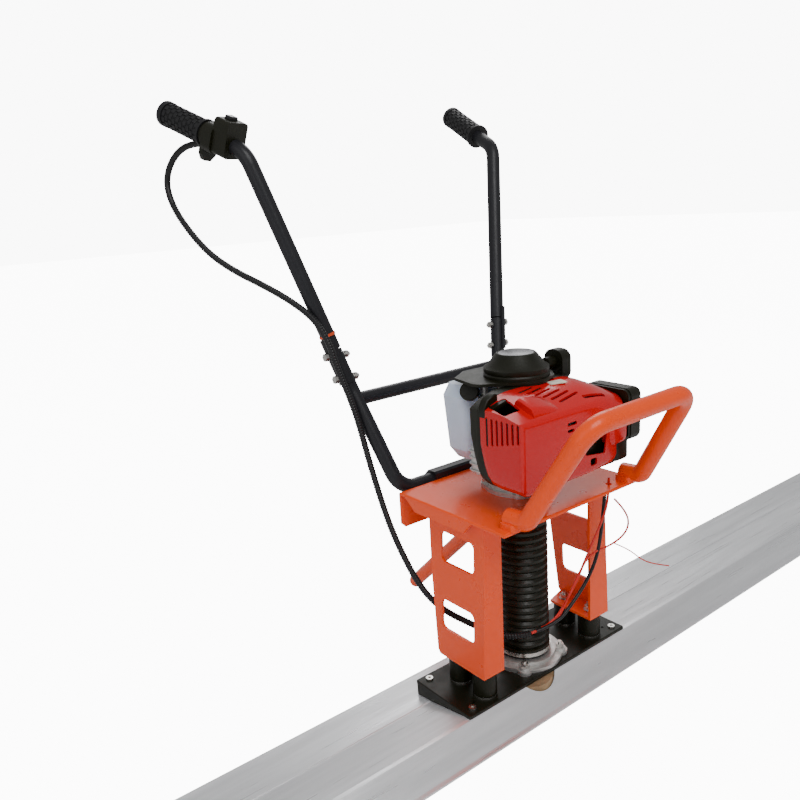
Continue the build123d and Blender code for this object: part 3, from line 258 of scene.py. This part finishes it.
def lathe(
    name, profile, material, origin=(0, 0, 0), axis=(0, 0, 1), body="machine",
    segments=64, sharp=38, caps=True,
):
    """Turns a (radius, height) profile about an axis through origin."""
    x, y, z = frame_of(axis)
    loops = []
    for r, h in profile:
        loop = []
        for k in range(segments):
            a = 2 * math.pi * k / segments
            p = Vector(origin) + (x * math.cos(a) + y * math.sin(a)) * max(0.01, r) + z * h
            loop.append(tuple(p))
        loops.append(loop)
    verts, faces = rings(loops, cap_start=caps, cap_end=caps)
    return new_piece(name, verts, faces, material, body, sharp)


def rounded(width, height, radius, steps=5):
    """Points round a rounded rectangle centred on the origin."""
    pts = []
    for cx, cy, start in ((1, 1, 0), (-1, 1, 90), (-1, -1, 180), (1, -1, 270)):
        for k in range(steps + 1):
            a = math.radians(start + 90 * k / steps)
            pts.append((
                cx * (width / 2 - radius) + radius * math.cos(a),
                cy * (height / 2 - radius) + radius * math.sin(a),
            ))
    return pts


def soft_block(name, size, centre, radius, material, edge=1.5, axis=(0, 0, 1), side=None, body="machine"):
    """A rounded rectangle with a rounded rim at both ends. size is (across, across, along axis)."""
    x, y, z = frame_of(axis, side)
    loops = []
    half = size[2] / 2
    turns = [math.radians(t) for t in (0, 30, 60, 90)]
    rim = [(half - edge * (1 - math.cos(t)), edge * (1 - math.sin(t))) for t in turns[::-1]]
    levels = [(-h, inset) for h, inset in rim[::-1]] + rim
    for h, inset in levels:
        loops.append([
            tuple(Vector(centre) + x * u + y * v + z * h)
            for u, v in rounded(size[0] - 2 * inset, size[1] - 2 * inset, max(0.3, radius - inset))
        ])
    verts, faces = rings(loops)
    return new_piece(name, verts, faces, material, body)


def slab(name, outline, along, material, axis="z", body="machine", edge=0.8):
    """A flat plate: a 2-D outline extruded between two levels of an axis, with small bevels."""
    low_level, high_level = along

    def put(u, v, w):
        return {"x": (w, u, v), "y": (u, w, v), "z": (u, v, w)}[axis]

    verts = [put(u, v, low_level) for u, v in outline] + [put(u, v, high_level) for u, v in outline]
    n = len(outline)
    faces = [tuple(range(n))[::-1], tuple(range(n, 2 * n))]
    faces += [(j, (j + 1) % n, (j + 1) % n + n, j + n) for j in range(n)]
    piece = new_piece(name, verts, faces, material, body)
    if edge:
        bevel = piece.modifiers.new("bevel", "BEVEL")
        bevel.width = edge * 0.001
        bevel.segments = 2
        bevel.limit_method = "ANGLE"
        bevel.angle_limit = math.radians(40)
    return piece


def spline_points(points, step=3.0):
    """Evenly spaced points along a NURBS spline through the control points, in millimetres."""
    curve = bpy.data.curves.new("route", "CURVE")
    curve.dimensions = "3D"
    spline = curve.splines.new("NURBS")
    spline.points.add(len(points) - 1)
    for p, q in zip(spline.points, points):
        p.co = (*q, 1.0)
    spline.order_u = 3
    spline.use_endpoint_u = True
    spline.resolution_u = 16
    holder = bpy.data.objects.new("route", curve)
    bpy.context.collection.objects.link(holder)
    mesh = bpy.data.meshes.new_from_object(holder.evaluated_get(bpy.context.evaluated_depsgraph_get()))
    line = [v.co.copy() for v in mesh.vertices]
    bpy.data.objects.remove(holder)
    bpy.data.meshes.remove(mesh)
    bpy.data.curves.remove(curve)
    even, left = [line[0]], step
    for a, b in zip(line, line[1:]):
        run = (b - a).length
        done = 0.0
        while run - done >= left:
            done += left
            even.append(a.lerp(b, done / run))
            left = step
        left -= run - done
    even.append(line[-1])
    return even


def hose(name, points, radius_at, material, step=3.0, segments=14, body="machine"):
    """A tube along a spline whose radius is a function of the running length and height."""
    line = spline_points(points, step=step)
    loops, x = [], None
    run = 0.0
    for i, p in enumerate(line):
        tangent = (line[min(i + 1, len(line) - 1)] - line[max(i - 1, 0)]).normalized()
        x = (x - tangent * x.dot(tangent)).normalized() if x else frame_of(tangent)[0]
        y = tangent.cross(x)
        r = radius_at(run, p.z)
        loops.append([
            tuple(p + (x * math.cos(a) + y * math.sin(a)) * r)
            for a in (2 * math.pi * k / segments for k in range(segments))
        ])
        if i + 1 < len(line):
            run += (line[i + 1] - p).length
    verts, faces = rings(loops)
    return new_piece(name, verts, faces, material, body, sharp=60)


def cutters(boxes):
    """One mesh object made of boxes: each is (centre, size, rotation in degrees about X, Y, Z)."""
    bm = bmesh.new()
    for centre, size, turn in boxes:
        place = Matrix.Translation(Vector(centre) * 0.001)
        for angle, axis in zip(turn, "XYZ"):
            place = place @ Matrix.Rotation(math.radians(angle), 4, axis)
        place = place @ Matrix.Diagonal((size[0] * 0.001, size[1] * 0.001, size[2] * 0.001, 1.0))
        made = bmesh.ops.create_cube(bm, size=1.0, matrix=place)
        edges = {e for v in made["verts"] for e in v.link_edges}
        width = min(0.0012, min(size) * 0.0004)
        bmesh.ops.bevel(bm, geom=list(edges), offset=width, segments=2, affect="EDGES")
    mesh = bpy.data.meshes.new("cutters")
    bm.to_mesh(mesh)
    bm.free()
    cutter = bpy.data.objects.new("cutters", mesh)
    bpy.context.collection.objects.link(cutter)
    return cutter


def carve(piece, boxes, sharp=38):
    """Cuts the boxes out of a piece's mesh."""
    cutter = cutters(boxes)
    modifier = piece.modifiers.new("cut", "BOOLEAN")
    modifier.object = cutter
    modifier.operation = "DIFFERENCE"
    modifier.solver = "EXACT"
    modifier.use_self = True
    bpy.context.view_layer.update()
    made = bpy.data.meshes.new_from_object(piece.evaluated_get(bpy.context.evaluated_depsgraph_get()))
    piece.modifiers.clear()
    piece.data = made
    made.polygons.foreach_set("use_smooth", [True] * len(made.polygons))
    made.set_sharp_from_angle(angle=math.radians(sharp))
    bpy.data.objects.remove(cutter)


# ------------------------------------------------------------------ engine shroud
LEFT, RIGHT, FRONT, BACK = -105.0, 100.0, -110.0, -34.0
UNDERSIDE = [(-34, 402), (-38, 382), (-42, 367), (-47, 355), (-54, 348), (-60, 346.5), (-200, 346.5)]


def underside(y):
    """Height of the shroud's lower edge, which climbs towards the back."""
    for (near, high), (far, low) in zip(UNDERSIDE, UNDERSIDE[1:]):
        if y >= far:
            return high + (low - high) * max(0.0, near - y) / (near - far)
    return UNDERSIDE[-1][1]


def crown(x, y):
    """Height of the shroud's top at (x, y)."""
    t = min(1.0, max(0.0, (y - FRONT) / 78))
    z = 440 + 24 * (1 - (1 - t) ** 1.7)
    z -= t * 0.0052 * max(0.0, -50 - x) ** 2
    z -= (0.35 + 0.65 * t) * 0.0066 * max(0.0, x - 40) ** 2
    return z


def shroud_outline(y, shift=0.0):
    """The shroud's section at depth y, as (x, z) points from the top left, round the bottom and back."""
    bottom = underside(y - shift)
    pts = []
    top_left = crown(LEFT, y)
    for share in (0.0, 0.4, 0.8):
        pts.append((LEFT, top_left + (bottom + 14 - top_left) * share))
    for k in range(7):
        a = math.radians(180 + 90 * k / 6)
        pts.append((LEFT + 12 + 12 * math.cos(a), bottom + 12 + 12 * math.sin(a)))
    for x in (-60, -20, 20, 60):
        pts.append((x, bottom))
    for k in range(7):
        a = math.radians(270 + 90 * k / 6)
        pts.append((RIGHT - 26 + 26 * math.cos(a), bottom + 26 + 26 * math.sin(a)))
    top_right = crown(RIGHT, y)
    pts.append((RIGHT, (bottom + 28 + top_right) / 2))
    pts.append((RIGHT, top_right - 4))
    for k in range(25):
        x = RIGHT - 3 - (RIGHT - LEFT - 6) * k / 24
        pts.append((x, crown(x, y)))
    return pts


def shrink(outline, amount):
    """Moves each point of a section inwards: amount(x) is the distance."""
    centre_x, centre_z = 0.0, 400.0
    out = []
    n = len(outline)
    for i, (x, z) in enumerate(outline):
        (ax, az), (bx, bz) = outline[i - 1], outline[(i + 1) % n]
        nx, nz = -(bz - az), bx - ax
        size = math.hypot(nx, nz) or 1.0
        nx, nz = nx / size, nz / size
        if nx * (centre_x - x) + nz * (centre_z - z) < 0:
            nx, nz = -nx, -nz
        d = amount(x)
        out.append((x + nx * d, z + nz * d))
    return out


def shroud_shell():
    loops = [[(x, y, z) for x, z in shroud_outline(y)] for y in (BACK, -38, -42, -47, -54, -66, -78)]
    steps = 7
    base = shroud_outline(FRONT)
    for k in range(steps + 1):
        a = math.radians(90 * k / steps)
        loop = []
        for j, (x, z) in enumerate(base):
            radius = 6 + 12 * max(0.0, min(1.0, (x - 30) / 60))
            y = FRONT + radius * (1 - math.sin(a))
            inset = radius * (1 - math.cos(a))
            x, z = shrink(shroud_outline(y), lambda _: inset)[j]
            x = max(LEFT + inset, min(RIGHT - inset, x))
            z = min(z, crown(x, y) - inset)
            loop.append((x, y, z))
        loops.append(loop)
    verts, faces = rings(loops, cap_start=False)
    shell = new_piece("shroud_shell", verts, faces, "engine_red")
    solid = shell.modifiers.new("wall", "SOLIDIFY")
    solid.thickness = 0.0028
    solid.offset = -1
    cuts = [((LEFT, -48 - 9.0 * i, 421.5 + 1.1 * i), (14, 3.8, 39 - 2.2 * i), (0, 0, 0)) for i in range(7)]
    # slanted louvres across the back of the top
    cuts += [((-33 + 8 * i, -48 - 7.5 * i, 457), (32 + 2.7 * i, 3.8, 30), (0, 0, 10)) for i in range(6)]
    # a long window along the front of the top
    cuts.append(((46, -95, 446), (38, 7, 26), (0, 0, -8)))
    # the dark mouth at the top left, then the slots, mouth and hole of the front face
    cuts.append(((-89, -64, 455), (26, 34, 26), (0, 0, -8)))
    cuts.append(((-14, FRONT, 424), (18, 14, 4.6), (0, 0, 0)))
    cuts.append(((-17, FRONT, 415), (13, 14, 4.2), (0, 0, 0)))
    cuts.append(((34, FRONT, 389), (40, 30, 36), (0, 8, 0)))
    cuts.append(((28, FRONT, 362), (13, 30, 10), (0, 0, 0)))
    carve(shell, cuts)
    bevel = shell.modifiers.new("edges", "BEVEL")
    bevel.width = 0.0007
    bevel.segments = 2
    bevel.limit_method = "ANGLE"
    bevel.angle_limit = math.radians(50)
    return shell


shell = shroud_shell()
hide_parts("engine_shroud")

# the raised scoop beside the dark mouth tapers away to the right
scoop_loops = []
for x, lift in ((-76, 8), (-73, 9), (-60, 7.5), (-45, 5), (-30, 1), (-24, -2)):
    loop = []
    for k in range(13):
        a = math.pi * k / 12
        y = -86 + 17 * math.cos(a)
        loop.append((x, y, crown(x, y) - 4 + (4 + lift) * min(1.0, 1.5 * math.sin(a))))
    scoop_loops.append(loop)
verts, faces = rings(scoop_loops)
new_piece("shroud_scoop", verts, faces, "engine_red", sharp=50)
soft_block(
    "shroud_boss", (40, 42, 22), (79, -102, 394), 13, "engine_red",
    edge=8, axis=(0, -1, 0), side=(1, 0, 0),
)

# black rim, tray and the inner baffle behind the shroud's mouths
RIM_LEAD = 15  # how far behind the shroud the rim's curve runs


def rim_loop(y, inset):
    return [(x, y, z) for x, z in shrink(shroud_outline(y, RIM_LEAD), lambda _: inset)]


rim_loops = [rim_loop(y, -0.8) for y in (-19, -24, -30, -34)]
rim_loops += [rim_loop(y, 0.8) for y in (-38, -42, -48, -54)]
rim_loops += [rim_loop(y, 6) for y in (-54, -34, -19)]
verts, faces = rings(rim_loops + rim_loops[:1], cap_start=False, cap_end=False)
# the rim stops clear of the flywheel below and of the starter grip on the right
faces = [
    f for f in faces
    if max(verts[k][0] for k in f) < (60 if min(verts[k][2] for k in f) > 420 else -58)
]
rim = new_piece("fan_housing_rim", verts, faces, "black_plastic", sharp=40)
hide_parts("fan_housing")
slab("fan_housing_tray", [(-62, -100), (84, -100), (94, -88), (94, -48), (-80, -48)], (344, 348),
     "black_plastic")
slab("shroud_baffle", [(-98, 388), (-98, 436), (-60, 452), (60, 452), (92, 430), (92, 388)],
     (-40, -38), "black_plastic", axis="y")
slab(
    "front_plate_dark", [(12, 352), (12, 412), (62, 412), (62, 352)], (-98, -95), "black_plastic", axis="y",
)
for i in range(3):
    soft_block(
        f"front_plate_rib_{i}", (22 - 4 * i, 2.2, 2.0), (38, -100, 404 - 9 * i), 0.6, "silver_trim",
        edge=0.4, axis=(0, -1, 0), side=(1, 0, 0),
    )
soft_block("lower_cover", (34, 30, 34), (87, -96, 366), 9, "black_plastic", edge=4)
soft_block("crankcase_side", (44, 26, 40), (-64, -4, 368), 8, "cast_aluminium", edge=3)
for i in range(4):
    soft_block(f"crankcase_rib_{i}", (44, 30, 2.4), (-66, -4, 354 + 9 * i), 8, "cast_aluminium", edge=0.8)
slab("shroud_label", [(14, -40), (38, -46), (33, -61), (9, -54)], (461.4, 463.2), "label_pale", edge=0.2)

# ------------------------------------------------------------------ conduit and wires
CONDUIT_POINTS = [
    (-233.5, 345.8, 796.5),
    (-240, 372, 808),
    (-247, 400, 813),
    (-261, 428, 808),
    (-274, 448, 786),
    (-281, 454, 756),
    (-280, 438, 722),
    (-271, 413, 687),
    (-258, 379, 652),
    (-242, 333, 626),
    (-225, 281, 606),
    (-207, 234, 583),
    (-191, 201, 557),
    (-182, 184, 523),
    (-176, 179, 490),
    (-168, 172, 457),
    (-161, 164, 422),
    (-156, 158, 386),
    (-152, 152, 350),
    (-148, 144, 314),
    (-145, 133, 278),
    (-142, 120, 244),
    (-137, 104, 210),
    (-131, 87, 178),
    (-121, 70, 150),
    (-104, 54, 127),
    (-84, 32, 111),
    (-68, 2, 101),
    (-56, -28, 99),
    (-32, -46, 104),
]
conduit = hose(
    "throttle_conduit_skin", CONDUIT_POINTS,
    lambda run, z: 4.9 if z > 727 else 4.7 + 0.45 * math.sin(2 * math.pi * run / 4.0),
    "conduit_plastic", step=0.8, segments=16,
)
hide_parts("throttle_conduit")
RED_WIRE = [
    (-13, -49, 107), (8, -58, 110), (30, -58, 132), (56, -58, 168), (80, -62, 196),
    (112, -72, 200), (134, -82, 214), (138, -87, 235), (120, -90, 262), (96, -92, 284),
]
BLACK_WIRE = [
    (-24, -50, 106), (6, -62, 112), (36, -62, 128), (70, -62, 152), (92, -64, 184),
    (97, -68, 226), (94, -74, 262), (92, -78, 288),
]
TAIL_WIRE = [(120, -72, 202), (150, -76, 184), (178, -82, 157), (206, -86, 142), (236, -90, 130)]
hose("stop_wire_red", RED_WIRE, lambda run, z: 1.5, "wire_red", step=4, segments=10)
hose("stop_wire_black", BLACK_WIRE, lambda run, z: 2.6, "conduit_plastic", step=4, segments=10)
hose("stop_wire_tail", TAIL_WIRE, lambda run, z: 1.0, "wire_red", step=4, segments=8)

# ------------------------------------------------------------------ raised blocks on the grips
ELBOW, GRIP_END = Vector((-236, 272, 789)), Vector((-277, 417, 854))


def grip_blocks(name, side, start, end):
    """Ten staggered rows of small raised pads round a grip."""
    base = Vector((ELBOW.x * -side, ELBOW.y, ELBOW.z))
    tip = Vector((GRIP_END.x * -side, GRIP_END.y, GRIP_END.z))
    x, y, z = frame_of(tip - base)
    rows, around = 10, 12
    pitch = (end - start) / rows
    verts, faces = [], []
    for row in range(rows):
        for k in range(around):
            middle = 2 * math.pi * (k + 0.5 * (row % 2)) / around
            low, high = start + row * pitch + 0.8, start + (row + 1) * pitch - 0.8
            first = len(verts)
            for radius, trim in ((16.0, 0.0), (17.4, 0.0), (18.0, 0.5)):
                for u, h in ((-1, low + trim), (1, low + trim), (1, high - trim), (-1, high - trim)):
                    a = middle + u * (math.pi / around - 0.07 - 0.03 * trim)
                    verts.append(tuple(base + (x * math.cos(a) + y * math.sin(a)) * radius + z * h))
            for level in (0, 4):
                faces += [(first + level + j, first + level + (j + 1) % 4, first + level + 4 + (j + 1) % 4,
                           first + level + 4 + j) for j in range(4)]
            faces.append((first + 3, first + 2, first + 1, first))
            faces.append((first + 8, first + 9, first + 10, first + 11))
    return new_piece(name, verts, faces, "grip_rubber")


grip_blocks("left_grip_blocks", -1, 83, 160)
grip_blocks("right_grip_blocks", 1, 63, 160)

# ------------------------------------------------------------------ starter
dome = lathe(
    "starter_dome",
    [
        (43, 462), (45, 462), (45.5, 474), (44, 476), (45, 478), (45, 483), (40, 486), (29, 500), (27, 502),
        (25.5, 502.4), (24.5, 501.4), (0.1, 501.4), (0.1, 499), (27, 499), (37, 485), (43, 484), (43, 462),
    ],
    "black_plastic", sharp=30, caps=False,
)
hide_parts("starter_cover")
disc = lathe(
    "starter_disc", [(24.5, 501), (24.5, 502), (23.5, 502.4), (0.1, 502.4)], "silver_trim",
)
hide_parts("starter_top_disc")
flange_outline = [
    (-76, 8), (-72, -4), (-60, -12), (-44, -26), (-22, -42), (6, -48), (32, -40),
    (48, -22), (54, 6), (54, 44), (20, 74), (-30, 76), (-66, 54),
]
flange_hole = [(44 * x / math.hypot(x, y), 44 * y / math.hypot(x, y)) for x, y in flange_outline]
flange_loops = [[(x, y, z) for x, y in edge] for edge, z in (
    (flange_outline, 466.5), (flange_outline, 470.5), (flange_hole, 470.5), (flange_hole, 466.5))]
verts, faces = rings(flange_loops + flange_loops[:1], cap_start=False, cap_end=False)
new_piece("starter_flange", verts, faces, "black_plastic")
slab(
    "fan_housing_fin",
    [(-105, 438), (-106, 452), (-100, 462), (-86, 468), (-82, 466), (-82, 450), (-96, 440)],
    (-46, -34), "black_plastic", axis="y", edge=1.2,
)

# ------------------------------------------------------------------ starter rope
rope_line = [(44 + 2 * k, 0, 475) for k in range(16)]
rope = hose("starter_rope_skin", rope_line, lambda run, z: 1.7, "rope_nylon", step=2, segments=10, body=None)
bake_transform(rope)
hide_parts("starter_rope")

# ------------------------------------------------------------------ stage, light, camera
bpy.ops.mesh.primitive_plane_add(size=30, location=(0, 0, -0.0005))
floor = bpy.context.object
floor.name = "stage_floor"
stage_white = surface(
    "stage_white", (0.95, 0.95, 0.95), 0.7, grain_depth=0.0, spread=0.01, rough_spread=0.02
)
floor.data.materials.append(stage_white)
tree = floor.data.materials[0].node_tree
# only the camera sees the floor's glow, so that the object isn't lit from below
glow = tree.nodes.new("ShaderNodeEmission")
seen = tree.nodes.new("ShaderNodeLightPath")
total = tree.nodes.new("ShaderNodeAddShader")
dark = tree.nodes.new("ShaderNodeEmission")
choose = tree.nodes.new("ShaderNodeMixShader")
glow.inputs["Strength"].default_value = 11.0
dark.inputs["Strength"].default_value = 0.0
tree.links.new(seen.outputs["Is Camera Ray"], choose.inputs["Fac"])
tree.links.new(dark.outputs[0], choose.inputs[1])
tree.links.new(glow.outputs[0], choose.inputs[2])
tree.links.new(choose.outputs[0], total.inputs[0])
tree.links.new(tree.nodes["Principled BSDF"].outputs[0], total.inputs[1])
tree.links.new(total.outputs[0], tree.nodes["Material Output"].inputs["Surface"])

world = bpy.data.worlds.new("studio")
scene.world = world
world.use_nodes = True
world.node_tree.nodes["Background"].inputs["Color"].default_value = (1.0, 1.0, 1.0, 1.0)
world.node_tree.nodes["Background"].inputs["Strength"].default_value = 0.42
sky = world.node_tree.nodes.new("ShaderNodeBackground")
sky.inputs["Strength"].default_value = 12.0
ray = world.node_tree.nodes.new("ShaderNodeLightPath")
pick = world.node_tree.nodes.new("ShaderNodeMixShader")
world.node_tree.links.new(ray.outputs["Is Camera Ray"], pick.inputs["Fac"])
world.node_tree.links.new(world.node_tree.nodes["Background"].outputs[0], pick.inputs[1])
world.node_tree.links.new(sky.outputs[0], pick.inputs[2])
world.node_tree.links.new(pick.outputs[0], world.node_tree.nodes["World Output"].inputs["Surface"])


def area_light(name, location, target, size, power):
    data = bpy.data.lights.new(name, "AREA")
    data.energy = power
    data.size = size
    lamp = bpy.data.objects.new(name, data)
    bpy.context.collection.objects.link(lamp)
    lamp.location = location
    lamp.rotation_euler = (Vector(target) - Vector(location)).to_track_quat("-Z", "Y").to_euler()


area_light("key", (-0.6, -1.6, 2.6), (0, 0, 0.35), 1.6, 46)
area_light("fill", (-2.4, -0.4, 1.4), (0, 0, 0.4), 2.0, 10)
area_light("back", (1.6, 1.8, 2.2), (0, 0, 0.4), 1.6, 26)

AZIMUTH = math.radians(36.87)
PITCH = math.radians(14.46)
ROLL = math.radians(-3.73)
forward = Vector((
    math.sin(AZIMUTH) * math.cos(PITCH), math.cos(AZIMUTH) * math.cos(PITCH), -math.sin(PITCH)
))
right = Vector((math.cos(AZIMUTH), -math.sin(AZIMUTH), 0))
upward = right.cross(forward)
right_rolled = right * math.cos(ROLL) + upward * math.sin(ROLL)
up_rolled = upward * math.cos(ROLL) - right * math.sin(ROLL)
camera = bpy.data.objects.new("camera", bpy.data.cameras.new("camera"))
bpy.context.collection.objects.link(camera)
camera.data.lens = 34.92
camera.data.sensor_width = 36
camera.data.clip_start = 0.05
camera.matrix_world = Matrix.Translation((-0.75393, -0.73502, 0.71321)) @ Matrix(
    (right_rolled, up_rolled, -forward)
).transposed().to_4x4()
scene.camera = camera
